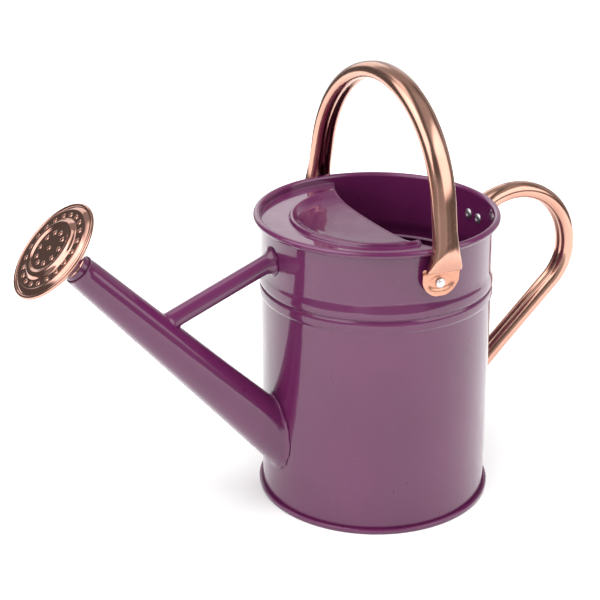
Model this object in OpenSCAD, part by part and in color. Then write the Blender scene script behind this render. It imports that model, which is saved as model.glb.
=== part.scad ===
// Watering can: cylindrical enamelled body with half lid, slanted spout with brace
// and screw-on rose, swinging bail over the top and fixed handle at the back.
// Frame: origin at the centre of the base ring on the ground, +Z up,
// spout towards -X, back handle towards +X, bail pivots along Y.

/* [Body] */
// Outer radius of the body wall
body_r = 82.5; // [80:0.5:84]
// Height of the top of the rolled rim
body_h = 211; // [209:0.5:213]
// Sheet thickness of the body
wall_t = 0.6; // [0.5:0.1:0.7]
// Outer radius of the rolled rim's section
roll_r = 1.9; // [1.8:0.1:2]
// Height of the upper stiffening bead
bead_z1 = 167.5; // [166:0.5:170]
// Height of the lower stiffening bead
bead_z2 = 157.5; // [154:0.5:159]
// Outer radius of the double seam round the base
seam_r = 84.7; // [84.4:0.1:85]

/* [Lid] */
// Height of the lid's flat outer band
lid_z = 205.8; // [205:0.1:206.2]
// X position of the lid's free edge at the dish
lid_edge_x = -2; // [-6:0.5:2]
// Radius of the raised rib round the dish
lid_rib_r = 59; // [57:0.5:61]

/* [Spout] */
// Pitch of the spout above the horizontal, degrees
spout_pitch = 47.3; // [46.8:0.1:47.8]
// X position of the spout's tip
tip_x = -218.7; // [-221:0.1:-216]
// Height of the spout's tip
tip_z = 206.8; // [205:0.1:209]
// Outer radius of the spout at its tip
tip_r = 10.3; // [10:0.1:10.6]
// Taper, growth of the radius per millimetre of length
spout_taper = 0.040; // [0.038:0.001:0.042]
// Sheet thickness of the spout
spout_t = 0.8; // [0.7:0.1:0.9]
// Pitch of the threaded neck and the rose above the horizontal, degrees
rose_pitch = 44.3; // [43.8:0.1:44.8]
// Radius of the threaded neck that takes the rose
neck_r = 8; // [7.8:0.1:8.2]
// Outer radius of the brace tube
brace_r = 6.4; // [6:0.1:6.8]

/* [Rose] */
// Outer radius of the rose's rolled rim
rose_r = 35.7; // [35:0.1:36.5]
// Radius of the rose's spray holes
spray_r = 0.9; // [0.7:0.1:1]
// Number of spray holes in the outer ring
spray_outer = 20; // [16:1:24]
// Number of spray holes in the inner ring
spray_inner = 10; // [8:1:12]

/* [Bail] */
// Height of the bail's pivot
pivot_z = 187; // [185:0.5:189]
// Radius of the bail's arch along its centre line
arch_r = 84.5; // [83.5:0.5:85.5]
// Splay of the bail's legs from the vertical, degrees
leg_splay = 11.6; // [11:0.1:12]
// Lean of the bail at rest from the vertical towards the back handle, degrees
bail_lean = 1.9; // [0:0.1:3]
// Width of the handle tubes
tube_w = 17.5; // [17:0.5:18.5]
// Depth of the handle tubes
tube_d = 12; // [11.5:0.5:12.5]
// Sheet thickness of the handles
tube_t = 0.8; // [0.7:0.1:1]
// Radius of the pivot rivets
pivot_r = 2.5; // [2.3:0.1:2.8]

/* [Back handle] */
// Radius of the handle's upper bend
back_r1 = 49.5; // [48.5:0.5:50.5]
// Radius of the handle's lower bend
back_r2 = 37; // [36:0.5:38]
// Height of the bends' centres
back_cz = 158; // [156:0.5:160]
// Distance of each fixing rivet from the middle
rivet_y = 6.2; // [5.8:0.1:6.6]

/* [Hidden] */
$fn = 96;
e = 0.05;

enamel = [0.47, 0.30, 0.42];
copper = [0.80, 0.54, 0.44];
steel = [0.74, 0.74, 0.75];
black = [0.10, 0.10, 0.11];

body_in = body_r - wall_t;
roll_c = body_in + roll_r;          // radius of the circle that the roll follows
roll_z = body_h - roll_r;
seam_angle = -8.5;                  // where the body's lock seam runs

dir_c = cos(spout_pitch);
dir_s = sin(spout_pitch);
tip_to_wall = (-body_r - tip_x) / dir_c;

arch_z = pivot_z + 36.9;            // centre of the bail's arch
leg_top = [arch_r * cos(leg_splay), arch_z + arch_r * sin(leg_splay)];
socket_top = pivot_z + 24;          // where the leg starts to widen
socket_z = pivot_z + 9.8;           // underside of the leg
tab_in = body_r + 1.15;
tab_t = 1.2;

back_c1 = 115;
back_c2 = back_c1 + back_r1 - back_r2;
back_a = 47.2;                      // slope of the lower straight run, from the vertical turned to the radius
up_rivet_z = 193;
low_rivet_z = 67;

// ---------- helpers ----------
// Places children so that +Z runs from the spout's tip out along its axis
module on_spout() translate([tip_x, 0, tip_z]) rotate([0, -(90 - spout_pitch), 0]) children();

// The same from the spout's tip along the rose's axis
module on_rose() translate([tip_x, 0, tip_z]) rotate([0, -(90 - rose_pitch), 0]) children();

// Cylinder about the spout's axis between two distances from the tip
module along(l0, l1, r0, r1) on_spout() translate([0, 0, l0]) cylinder(h = l1 - l0, r1 = r0, r2 = r1);

// Section of a handle tube, w across and d deep, with rounded sides
module tube_section(w, d) {
    square([w - d, d], center = true);
    for (s = [-1, 1]) translate([s * (w - d) / 2, 0]) circle(d = d, $fn = 48);
}
// Its hollow section; g makes both skins g thicker, so that joined runs overlap cleanly
module tube_ring(w, d, t, g = 0) difference() {
    tube_section(w + 2 * g, d + 2 * g);
    tube_section(w - 2 * t - 2 * g, d - 2 * t - 2 * g);
}

// ---------- can ----------
module bead_profile(z) translate([body_r - 1.5, z]) circle(r = 2.7, $fn = 48);
module bead_hollow(z) translate([body_r - 1.5, z]) circle(r = 2.1, $fn = 48);

module body_shell() color(enamel) difference() {
    union() {
        rotate_extrude() difference() {
            union() {
                translate([body_in, 0.65]) square([wall_t, roll_z - 0.65]);
                translate([body_in, 0.65]) square([2.1, 0.6]);
                intersection() {
                    union() { bead_profile(bead_z1); bead_profile(bead_z2); }
                    translate([body_in, bead_z2 - 6]) square([3, bead_z1 - bead_z2 + 12]);
                }
                translate([roll_c, roll_z]) circle(r = roll_r, $fn = 48);
            }
            bead_hollow(bead_z1);
            bead_hollow(bead_z2);
            translate([roll_c, roll_z]) circle(r = roll_r - wall_t, $fn = 48);
            // mouth of the curl, turned down against the wall
            translate([body_r + 0.02, roll_z - roll_r - 0.5]) square([0.7, 1.6]);
        }
        // folded lock seam, inside, opposite the spout
        rotate([0, 0, seam_angle]) translate([body_in - 0.55, -2, 6]) cube([0.85, 4, 192]);
    }
    along(-tip_to_wall - 60, -20, tip_r - spout_t + spout_taper * (tip_to_wall + 60), tip_r - spout_t + spout_taper * 20);
    for (s = [-1, 1]) translate([0, s * body_r, pivot_z]) rotate([90, 0, 0]) cylinder(h = 8, r = pivot_r, center = true, $fn = 48);
    for (s = [-1, 1], z = [up_rivet_z, low_rivet_z]) translate([body_r, s * rivet_y, z]) rotate([0, 90, 0]) cylinder(h = 8, r = 2, center = true, $fn = 48);
}

module base_plate() color(enamel) rotate_extrude() union() {
    // bottom disc, raised inside the seam, with a shallow pressed ring
    translate([0, 3.4]) square([81.2, 0.6]);
    translate([58, 3.9]) square([6, 0.5]);
    translate([81.2, 0]) square([0.6, 4]);
    translate([81.2, 0]) square([seam_r - 81.2, 0.6]);
    translate([body_in + 2.15, 0]) square([seam_r - body_in - 2.15, 3.6]);
    translate([body_r + e, 1.3]) square([seam_r - body_r - e, 2.3]);
}

module rim_wire() color(steel) rotate_extrude() translate([roll_c, roll_z]) circle(r = roll_r - wall_t - e, $fn = 48);

// Lid seen from above: straight at the dish, flaring to the wall at both ends
module lid_outline() polygon([[-90, -90], [lid_edge_x + 16, -90], [lid_edge_x, -lid_rib_r], [lid_edge_x, lid_rib_r], [lid_edge_x + 16, 90], [-90, 90]]);

module top_cover() color(enamel) intersection() {
    rotate_extrude() {
        t = 0.6;
        r = lid_rib_r;
        top = [[0, -4.5], [18, -4.3], [34, -3.6], [44, -2.6], [50, -1.3], [54, 0.2], [56.5, 1.6], [58, 2.4], [r, 2.7],
            [r + 1, 2.5], [r + 1.7, 1.6], [r + 2.3, 0.4], [r + 3.2, 0], [body_in - e, 0]];
        polygon(concat([for (p = top) [p[0], lid_z + p[1]]], [for (i = [len(top) - 1:-1:0]) [top[i][0], lid_z + top[i][1] - t]]));
    }
    translate([0, 0, lid_z - 10]) linear_extrude(20) lid_outline();
}

// ---------- spout ----------
module spout_tube() color(enamel) difference() {
    along(-tip_to_wall - 40, 0, tip_r + spout_taper * (tip_to_wall + 40), tip_r);
    along(-tip_to_wall - 60, 1, tip_r - spout_t + spout_taper * (tip_to_wall + 60), tip_r - spout_t - spout_taper);
    translate([0, 0, -40]) cylinder(h = 300, r = body_r, $fn = 192);
}

module spout_brace() color(enamel) {
    a = [-160, 157.6];
    b = [-76, 190.2];
    len = norm(b - a);
    tilt = atan2(b[1] - a[1], b[0] - a[0]);
    difference() {
        translate([a[0], 0, a[1]]) rotate([0, 90 - tilt, 0]) difference() {
            union() {
                translate([0, 0, -16]) cylinder(h = len + 16, r = brace_r);
                translate([0, 0, len - 15]) cylinder(h = 9.5, r1 = brace_r, r2 = brace_r + 2.6);
                translate([0, 0, len - 5.5]) cylinder(h = 5.5, r = brace_r + 2.6);
            }
            translate([0, 0, -20]) cylinder(h = len + 40, r = brace_r - 0.8);
        }
        translate([0, 0, 100]) cylinder(h = 140, r = body_r, $fn = 192);
        along(-tip_to_wall - 40, 0, tip_r + spout_taper * (tip_to_wall + 40), tip_r);
    }
}

module spout_neck() color(enamel) difference() {
    union() {
        on_rose() translate([0, 0, -7]) cylinder(h = 20.5, r = neck_r);
        along(-9, 0, tip_r - spout_t + spout_taper * 9, tip_r - spout_t);
    }
    on_rose() translate([0, 0, -14]) cylinder(h = 30, r = neck_r - 1.2);
}

// ---------- rose ----------
module rose_gasket() color(black) on_rose() rotate_extrude() translate([6, 13.85]) square([2.5, 2.05]);

module rose_socket() color(copper) on_rose() rotate_extrude() {
    translate([neck_r + 0.08, 5]) square([10 - neck_r - 0.08, 8.8]);
    translate([8.6, 13.7]) square([1.4, 3.3]);
    translate([6.5, 16]) square([3.5, 1]);
}

module rose_back() color(copper) on_rose() rotate_extrude() {
    pts = [[10.02, 8], [14, 8.6], [19, 10.6], [24, 13.4], [28.5, 16.8], [31.5, 19.6], [34.2, 19.9]];
    polygon(concat(pts, [for (i = [len(pts) - 1:-1:0]) [pts[i][0], pts[i][1] + 0.65]]));
}

module rose_face() color(copper) on_rose() {
    rose_plate();
    // rolled rim
    rotate_extrude() translate([rose_r - 1.4, 22]) circle(r = 1.4, $fn = 48);
}

module rose_plate() difference() {
    rotate_extrude() {
        top = [[0, 25.6], [15.6, 25.4], [16.8, 25.9], [18, 26.4], [20, 26.3], [21.6, 25.3], [22.6, 24.2], [28.4, 23.9],
            [29.3, 24.2], [31.5, 23.5], [33.2, 22.6], [34.4, 22.35]];
        polygon(concat(top, [for (i = [len(top) - 1:-1:0]) [top[i][0], top[i][1] - 0.7]]));
    }
    translate([0, 0, 20]) cylinder(h = 10, r = spray_r, $fn = 24);
    for (i = [0:spray_inner - 1]) rotate([0, 0, 360 * i / spray_inner]) translate([11.6, 0, 20]) cylinder(h = 10, r = spray_r, $fn = 24);
    for (i = [0:spray_outer - 1]) rotate([0, 0, 360 * i / spray_outer]) translate([25.6, 0, 20]) cylinder(h = 10, r = spray_r, $fn = 24);
}

// ---------- bail ----------
// Radius from the pivot axis against the closest the bail may come to the can's middle plane
clear_rho = [for (i = [0:12]) 22 + 3 * i];
module can_clearance() for (s = [0, 180]) rotate([0, 0, s]) translate([0, 0, pivot_z]) rotate([90, 0, 0]) rotate_extrude()
    polygon(concat([[0, 0], [0, body_r + 0.6], [18.6, body_r + 0.6], [18.6, body_r + 3.7]],
        [for (r = clear_rho) [r, sqrt(pow(body_r + 3.2, 2) - r * r + 484) + 0.5]], [[58, 0]]));

module bail_leg() {
    // straight run from the arch to the widened end
    run = (leg_top[1] - socket_top) / cos(leg_splay) + 3;
    translate([0, -leg_top[0], leg_top[1]]) rotate([-leg_splay, 0, 0]) translate([0, 0, -run]) linear_extrude(run + 1) tube_ring(tube_w, tube_d, tube_t, e);
}
function leg_y(z) = leg_top[0] + (leg_top[1] - z) * tan(leg_splay);

// Widened end of a leg, a pressed cup open towards the can
module bail_cup(g) intersection() {
    translate([0, -70, 0]) rotate([90, 0, 0]) linear_extrude(40) polygon([[-tube_w / 2 + g, socket_top + 1], [-tube_w / 2 + g, socket_top - 2], [-9.8 + g, socket_top - 7],
        [-13.2 + g, socket_z + 2 + g / 2], [-13.2 + g, socket_z + g], [13.2 - g, socket_z + g], [13.2 - g, socket_z + 2 + g / 2], [9.8 - g, socket_top - 7], [tube_w / 2 - g, socket_top - 2], [tube_w / 2 - g, socket_top + 1]]);
    rotate([90, 0, 90]) linear_extrude(40, center = true) polygon([[-leg_y(socket_top + 1) - 6 + g, socket_top + 1], [-leg_y(socket_top) - 6 + g, socket_top], [-leg_y(socket_top - 6) - 5.2 + g, socket_top - 6], [-94.2 + g, socket_z + 4.5], [-92.6 + g, socket_z + 1.6], [-91.2 + g, socket_z + g],
        [-70, socket_z + g], [-70, socket_top + 1]]);
}

module bail_end() {
    difference() {
        bail_cup(0);
        bail_cup(tube_t);
        // mouth towards the can, above the floor of the cup
        translate([-20, -tab_in - tab_t, socket_z + tube_t]) cube([40, 30, 40]);
        translate([-20, -tab_in, socket_z - 10]) cube([40, 30, 60]);
    }
    // pivot tab
    difference() {
        translate([0, -tab_in, pivot_z]) rotate([90, 0, 0]) linear_extrude(tab_t) {
            intersection() {
                translate([0, 5]) circle(r = 14.4, $fn = 96);
                translate([-14, -9]) square([28, 18.8 + tube_t]);
            }
            translate([-13.2, 2]) square([26.4, 7.8 + tube_t]);
        }
        translate([0, -body_r, pivot_z]) rotate([90, 0, 0]) cylinder(h = 20, r = pivot_r + 0.05, center = true, $fn = 48);
    }
}

module bail_handle() color(copper) translate([0, 0, pivot_z]) rotate([0, bail_lean, 0]) translate([0, 0, -pivot_z]) difference() {
    union() {
        translate([0, 0, arch_z]) rotate([90, 0, 90]) rotate([0, 0, leg_splay]) rotate_extrude(angle = 180 - 2 * leg_splay, $fn = 192)
            translate([arch_r, 0]) rotate([0, 0, 90]) tube_ring(tube_w, tube_d, tube_t);
        for (s = [0, 180]) rotate([0, 0, s]) { bail_leg(); bail_end(); }
    }
    can_clearance();
}

module bail_pivot_rivets() color(steel) for (s = [0, 180]) rotate([0, 0, s]) translate([0, -tab_in - tab_t - 0.1, pivot_z]) rotate([90, 0, 0]) {
    rotate_extrude() intersection() {
        translate([0, -1.9]) circle(r = 4.2, $fn = 64);
        square([5, 3]);
    }
    translate([0, 0, -5.6]) cylinder(h = 5.6, r = pivot_r, $fn = 48);
    translate([0, 0, -6.6]) cylinder(h = 1.6, r = 4, $fn = 48);
}

module bail_spacer_washers() color(steel) for (s = [0, 180]) rotate([0, 0, s]) translate([0, -body_r - e, pivot_z]) rotate([90, 0, 0]) difference() {
    cylinder(h = 1, r = 6, $fn = 64);
    translate([0, 0, -1]) cylinder(h = 3, r = pivot_r, $fn = 48);
}

module bail_backing_washers() color(steel) for (s = [0, 180]) rotate([0, 0, s]) translate([0, -body_in + 0.25, pivot_z]) rotate([-90, 0, 0]) difference() {
    cylinder(h = 0.9, r = 5.5, $fn = 64);
    translate([0, 0, -1]) cylinder(h = 3, r = pivot_r, $fn = 48);
}

// ---------- back handle ----------
module back_sweep(t) {
    translate([back_c1, 0, back_cz]) rotate([90, 0, 0]) rotate_extrude(angle = 118, $fn = 192) translate([back_r1, 0]) rotate([0, 0, 90]) tube_ring(tube_w - 1.5, tube_d, t);
    translate([back_c2, 0, back_cz]) rotate([90, 0, 0]) rotate([0, 0, -back_a]) rotate_extrude(angle = back_a + 1.5, $fn = 192) translate([back_r2, 0]) rotate([0, 0, 90]) tube_ring(tube_w - 1.5, tube_d, t, 0.08);
}

// Curved fixing tab against the wall
module back_tab(z0, z1) intersection() {
    rotate_extrude($fn = 192) translate([body_r, z0]) square([1, z1 - z0]);
    translate([60, 0, (z0 + z1) / 2]) rotate([90, 0, 90]) linear_extrude(40) square([26, z1 - z0], center = true);
}

module back_handle() color(copper) difference() {
    union() {
        difference() {
            union() {
                back_sweep(tube_t);
                // lower straight run
                translate([back_c2 + back_r2 * cos(back_a), 0, back_cz - back_r2 * sin(back_a)]) rotate([0, 180 + back_a, 0]) translate([0, 0, -1]) linear_extrude(100) rotate([0, 0, 90]) tube_ring(tube_w - 1.5, tube_d, tube_t, 0.16);
                // upper run in to the wall
                translate([back_c1 - back_r1 * sin(28), 0, back_cz + back_r1 * cos(28)]) rotate([0, -118, 0]) translate([0, 0, -1]) linear_extrude(13) rotate([0, 0, 90]) tube_ring(tube_w - 1.5, tube_d, tube_t, e);
            }
            translate([0, 0, 20]) cylinder(h = 200, r = body_r + 0.6, $fn = 192);
            // room for the rivets' spread tails
            for (s = [-1, 1], z = [up_rivet_z, low_rivet_z]) translate([body_r, s * rivet_y, z]) rotate([0, 90, 0]) cylinder(h = 2.9, r = 2.95, $fn = 48);
            // room for the rolled rim
            translate([0, 0, roll_z - roll_r - 0.6]) cylinder(h = 8, r = roll_c + roll_r + 0.3, $fn = 192);
        }
        back_tab(up_rivet_z - 6, up_rivet_z + 9);
        back_tab(low_rivet_z - 8, low_rivet_z + 6);
    }
    for (s = [-1, 1], z = [up_rivet_z, low_rivet_z]) translate([body_r, s * rivet_y, z]) rotate([0, 90, 0]) cylinder(h = 8, r = 2, center = true, $fn = 48);
}

// Hollow rivet set from inside: domed flange, shank and spread tail
module blind_rivet(x_in) translate([x_in, 0, 0]) rotate([0, 90, 0]) difference() {
    union() {
        rotate_extrude() intersection() {
            translate([0, 2.6]) circle(r = 3.9, $fn = 64);
            translate([0, -1.3]) square([3.2, 1.3]);
        }
        translate([0, 0, -0.01]) cylinder(h = body_r + 1 - x_in + 1.6, r = 2, $fn = 48);
        translate([0, 0, body_r + 1.02 - x_in]) cylinder(h = 1.6, r = 2.7, $fn = 48);
    }
    translate([0, 0, -3]) cylinder(h = 4.5, r = 0.8, $fn = 32);
}

module back_handle_upper_rivets() color(steel) for (s = [-1, 1]) translate([0, s * rivet_y, up_rivet_z]) blind_rivet(body_in - 0.55);
module back_handle_lower_rivets() color(steel) for (s = [-1, 1]) translate([0, s * rivet_y, low_rivet_z]) blind_rivet(body_in - 1.66);

module back_handle_seal_washers() color(black) for (s = [-1, 1]) translate([body_in - 0.65, s * rivet_y, low_rivet_z]) rotate([0, -90, 0]) difference() {
    cylinder(h = 1, r = 3.8, $fn = 64);
    translate([0, 0, -1]) cylinder(h = 3, r = 2, $fn = 48);
}

body_shell();
base_plate();
rim_wire();
top_cover();
spout_tube();
spout_brace();
spout_neck();
rose_gasket();
rose_socket();
rose_back();
rose_face();
bail_handle();
bail_pivot_rivets();
bail_spacer_washers();
bail_backing_washers();
back_handle();
back_handle_upper_rivets();
back_handle_lower_rivets();
back_handle_seal_washers();
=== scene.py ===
import math
from math import cos, sin, radians, sqrt, pi

import bmesh
import bpy
import numpy as np
from mathutils import Matrix, Vector, noise

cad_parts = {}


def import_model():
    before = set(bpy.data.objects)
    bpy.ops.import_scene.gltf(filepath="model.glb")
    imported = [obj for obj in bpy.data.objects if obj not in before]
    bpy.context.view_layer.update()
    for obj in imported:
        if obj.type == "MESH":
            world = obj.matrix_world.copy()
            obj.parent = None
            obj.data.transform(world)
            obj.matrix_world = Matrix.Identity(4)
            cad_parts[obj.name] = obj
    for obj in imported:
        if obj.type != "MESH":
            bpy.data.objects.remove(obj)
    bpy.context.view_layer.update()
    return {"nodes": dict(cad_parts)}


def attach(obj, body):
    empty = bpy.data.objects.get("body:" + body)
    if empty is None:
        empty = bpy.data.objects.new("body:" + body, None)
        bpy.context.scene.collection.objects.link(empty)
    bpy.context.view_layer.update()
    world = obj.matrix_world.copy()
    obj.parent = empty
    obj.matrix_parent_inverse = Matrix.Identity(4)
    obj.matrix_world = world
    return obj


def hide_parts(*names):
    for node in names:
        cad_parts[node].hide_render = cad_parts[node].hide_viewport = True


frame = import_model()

MM = 0.001

# ---------------------------------------------------------------- sizes, in millimetres, as in part.scad
BODY_R, WALL, BODY_H = 82.5, 0.6, 211.0
BODY_IN = BODY_R - WALL
ROLL_R = 1.9
ROLL_C, ROLL_Z = BODY_IN + ROLL_R, BODY_H - ROLL_R
BEADS = (167.5, 157.5)
SEAM_R = 84.7
SEAM_A = radians(-8.5)
LID_Z, LID_EDGE, LID_RIB = 205.8, -2.0, 59.0
TIP = np.array([-218.7, 0.0, 206.8])
SP, RP = radians(47.3), radians(44.3)
TIP_R, TAPER, SPOUT_T = 10.3, 0.040, 0.8
NECK_R = 8.0
BRACE_R = 6.4
ROSE_R = 35.7
PIVOT_Z, ARCH_R, SPLAY = 187.0, 84.5, radians(11.6)
LEAN = radians(1.9)
ARCH_Z = PIVOT_Z + 36.9
TUBE_W, TUBE_D, TUBE_T = 17.5, 12.0, 0.8
TAB_IN, TAB_T = BODY_R + 1.15, 1.2
UP_RIVET, LOW_RIVET, RIVET_Y = 193.0, 67.0, 6.2


# ---------------------------------------------------------------- materials
def nodes_of(name):
    m = bpy.data.materials.new(name)
    m.use_nodes = True
    nt = m.node_tree
    return m, nt, nt.nodes["Principled BSDF"]


def add(nt, kind, **sets):
    n = nt.nodes.new(kind)
    for k, v in sets.items():
        if k.startswith("in_"):
            n.inputs[k[3:].replace("_", " ")].default_value = v
        else:
            setattr(n, k, v)
    return n


def mapped(nt, source, scale=(1, 1, 1)):
    mp = add(nt, "ShaderNodeMapping")
    mp.inputs["Scale"].default_value = scale
    nt.links.new(source, mp.inputs["Vector"])
    return mp.outputs["Vector"]


def noise_tex(nt, vec, scale, detail=4.0, rough=0.5, lac=2.0, dist=0.0):
    n = add(nt, "ShaderNodeTexNoise", in_Scale=scale, in_Detail=detail, in_Roughness=rough, in_Lacunarity=lac, in_Distortion=dist)
    nt.links.new(vec, n.inputs["Vector"])
    return n.outputs["Fac"]


def ramp(nt, fac, stops):
    r = add(nt, "ShaderNodeValToRGB")
    el = r.color_ramp.elements
    el[0].position, el[0].color = stops[0][0], (*stops[0][1], 1)
    el[1].position, el[1].color = stops[-1][0], (*stops[-1][1], 1)
    for p, c in stops[1:-1]:
        e = el.new(p)
        e.color = (*c, 1)
    nt.links.new(fac, r.inputs["Fac"])
    return r.outputs["Color"]


def rng(nt, fac, lo, hi, flo=0.0, fhi=1.0):
    n = add(nt, "ShaderNodeMapRange")
    n.inputs["From Min"].default_value, n.inputs["From Max"].default_value = flo, fhi
    n.inputs["To Min"].default_value, n.inputs["To Max"].default_value = lo, hi
    nt.links.new(fac, n.inputs["Value"])
    return n.outputs["Result"]


def mix(nt, fac, a, b, mode="MIX"):
    n = nt.nodes.new("ShaderNodeMix")
    n.data_type, n.blend_type = "RGBA", mode
    for sock, v in ((n.inputs[0], fac), (n.inputs[6], a), (n.inputs[7], b)):
        if isinstance(v, bpy.types.NodeSocket):
            nt.links.new(v, sock)
        else:
            sock.default_value = v if not isinstance(v, tuple) else (*v, 1)
    return n.outputs[2]


def maths(nt, op, a, b=0.0, c=0.0, clamp=False):
    n = add(nt, "ShaderNodeMath", operation=op, use_clamp=clamp)
    for sock, v in zip(n.inputs, (a, b, c)):
        if isinstance(v, bpy.types.NodeSocket):
            nt.links.new(v, sock)
        else:
            sock.default_value = v
    return n.outputs[0]


def bump(nt, bsdf, layers):
    """layers: (height socket, strength, distance in metres), chained"""
    prev = None
    for h, s, d in layers:
        b = add(nt, "ShaderNodeBump")
        b.inputs["Strength"].default_value, b.inputs["Distance"].default_value = s, d
        nt.links.new(h, b.inputs["Height"])
        if prev is not None:
            nt.links.new(prev, b.inputs["Normal"])
        prev = b.outputs["Normal"]
    nt.links.new(prev, bsdf.inputs["Normal"])
    return prev


def enamel_mat(name, deep=(0.084, 0.0085, 0.053), light=(0.102, 0.0112, 0.065), worn=(0.21, 0.085, 0.16)):
    m, nt, b = nodes_of(name)
    co = add(nt, "ShaderNodeTexCoord").outputs["Object"]
    big = noise_tex(nt, co, 14, 3, 0.5)
    fine = noise_tex(nt, co, 420, 3, 0.55)
    col = mix(nt, rng(nt, big, 0, 1, 0.32, 0.68), deep, light)
    speck = ramp(nt, fine, [(0.62, (0, 0, 0)), (0.78, (1, 1, 1))])
    col = mix(nt, maths(nt, "MULTIPLY", speck, 0.12), col, worn)
    # thin, rubbed enamel on convex edges
    pt = add(nt, "ShaderNodeNewGeometry").outputs["Pointiness"]
    edge = rng(nt, pt, 0, 1, 0.56, 0.68)
    patchy = rng(nt, noise_tex(nt, co, 160, 4, 0.6), 0, 1, 0.42, 0.7)
    col = mix(nt, maths(nt, "MULTIPLY", maths(nt, "MULTIPLY", edge, patchy), 0.35), col, worn)
    nt.links.new(col, b.inputs["Base Color"])
    smear = noise_tex(nt, mapped(nt, co, (1, 1, 0.35)), 60, 5, 0.6)
    nt.links.new(rng(nt, smear, 0.26, 0.40, 0.3, 0.7), b.inputs["Roughness"])
    b.inputs["Coat Weight"].default_value = 1.0
    b.inputs["Coat Roughness"].default_value = 0.045
    b.inputs["Coat IOR"].default_value = 1.52
    b.inputs["Specular IOR Level"].default_value = 0.20
    n = bump(nt, b, [(noise_tex(nt, co, 260, 2, 0.5), 0.10, 0.00022), (noise_tex(nt, co, 30, 2, 0.4), 0.10, 0.0012)])
    nt.links.new(n, b.inputs["Coat Normal"])
    return m


def copper_mat(name, warm=1.0, rough=(0.14, 0.21), uv=True, tint=(1, 1, 1)):
    m, nt, b = nodes_of(name)
    tc = add(nt, "ShaderNodeTexCoord")
    co = tc.outputs["Object"]
    run = tc.outputs["UV"] if uv else co
    b.inputs["Metallic"].default_value = 1.0
    blot = noise_tex(nt, co, 26, 4, 0.55)
    c1 = tuple(x * t for x, t in zip((0.63, 0.362, 0.280), tint))
    c2 = tuple(x * t for x, t in zip((0.56, 0.290 * warm, 0.215 * warm), tint))
    c3 = tuple(x * t for x, t in zip((0.42, 0.185, 0.135), tint))
    col = ramp(nt, blot, [(0.30, c2), (0.62, c1)])
    streak = noise_tex(nt, mapped(nt, run, (18, 2600, 1) if uv else (1, 1, 1)), 1.0 if uv else 900, 3, 0.6)
    fine = noise_tex(nt, mapped(nt, run, (60, 9000, 1) if uv else (1, 1, 1)), 1.0 if uv else 2600, 2, 0.5)
    col = mix(nt, maths(nt, "MULTIPLY", rng(nt, streak, 0, 1, 0.55, 0.8), 0.22), col, c3)
    spots = ramp(nt, noise_tex(nt, co, 210, 4, 0.6), [(0.66, (0, 0, 0)), (0.74, (1, 1, 1))])
    col = mix(nt, maths(nt, "MULTIPLY", spots, 0.16), col, c3)
    # painted shade: where the surface is concave (low pointiness) the colour is pulled towards dark brown, shade
    # painted into the creases
    pt = add(nt, "ShaderNodeNewGeometry").outputs["Pointiness"]
    crease_shade = rng(nt, pt, 1, 0, 0.40, 0.47)
    col = mix(nt, maths(nt, "MULTIPLY", crease_shade, 0.45), col, (0.20, 0.075, 0.045))
    nt.links.new(col, b.inputs["Base Color"])
    r = maths(nt, "ADD", rng(nt, streak, rough[0], rough[1], 0.3, 0.7), maths(nt, "MULTIPLY", spots, 0.08))
    r = maths(nt, "ADD", r, rng(nt, blot, -0.02, 0.03, 0.3, 0.7), clamp=True)
    nt.links.new(r, b.inputs["Roughness"])
    bump(nt, b, [(streak, 0.12, 0.00010), (fine, 0.10, 0.00005), (noise_tex(nt, co, 90, 2, 0.5), 0.12, 0.0003)])
    return m


def metal_mat(name, base, dark, rough=(0.28, 0.45), scale=500):
    m, nt, b = nodes_of(name)
    co = add(nt, "ShaderNodeTexCoord").outputs["Object"]
    b.inputs["Metallic"].default_value = 1.0
    n1, n2 = noise_tex(nt, co, scale, 5, 0.6), noise_tex(nt, co, scale * 4, 3, 0.6)
    col = mix(nt, rng(nt, n1, 0, 1, 0.35, 0.65), dark, base)
    # painted shade: concave places (low pointiness) are darkened to a quarter of the dark tone
    pt = add(nt, "ShaderNodeNewGeometry").outputs["Pointiness"]
    col = mix(nt, maths(nt, "MULTIPLY", rng(nt, pt, 1, 0, 0.42, 0.49), 0.6), col, tuple(0.25 * x for x in dark))
    nt.links.new(col, b.inputs["Base Color"])
    nt.links.new(rng(nt, n2, rough[0], rough[1], 0.3, 0.7), b.inputs["Roughness"])
    bump(nt, b, [(n1, 0.25, 0.00008), (n2, 0.2, 0.00003)])
    return m


def rubber_mat(name):
    m, nt, b = nodes_of(name)
    co = add(nt, "ShaderNodeTexCoord").outputs["Object"]
    n1, n2 = noise_tex(nt, co, 300, 5, 0.65), noise_tex(nt, co, 2400, 3, 0.6)
    nt.links.new(mix(nt, rng(nt, n1, 0, 1, 0.35, 0.7), (0.012, 0.012, 0.013), (0.034, 0.033, 0.033)), b.inputs["Base Color"])
    nt.links.new(rng(nt, n2, 0.55, 0.78, 0.3, 0.7), b.inputs["Roughness"])
    b.inputs["Specular IOR Level"].default_value = 0.35
    bump(nt, b, [(n1, 0.2, 0.0001), (n2, 0.3, 0.00005)])
    return m


ENAMEL = enamel_mat("enamel_purple")
COPPER = copper_mat("copper_brushed")
COPPER_TAB = copper_mat("copper_pressed_tab", uv=False, rough=(0.24, 0.36), tint=(1.04, 0.95, 0.88))
COPPER_ROSE = copper_mat("copper_spun_rose", uv=True, rough=(0.05, 0.09), tint=(0.94, 0.93, 0.96))
ALU = metal_mat("rivet_aluminium", (0.90, 0.90, 0.91), (0.70, 0.70, 0.72), rough=(0.36, 0.52))
ZINC = metal_mat("washer_zinc", (0.66, 0.68, 0.70), (0.42, 0.44, 0.47), scale=350)
RUBBER = rubber_mat("gasket_rubber")


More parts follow.
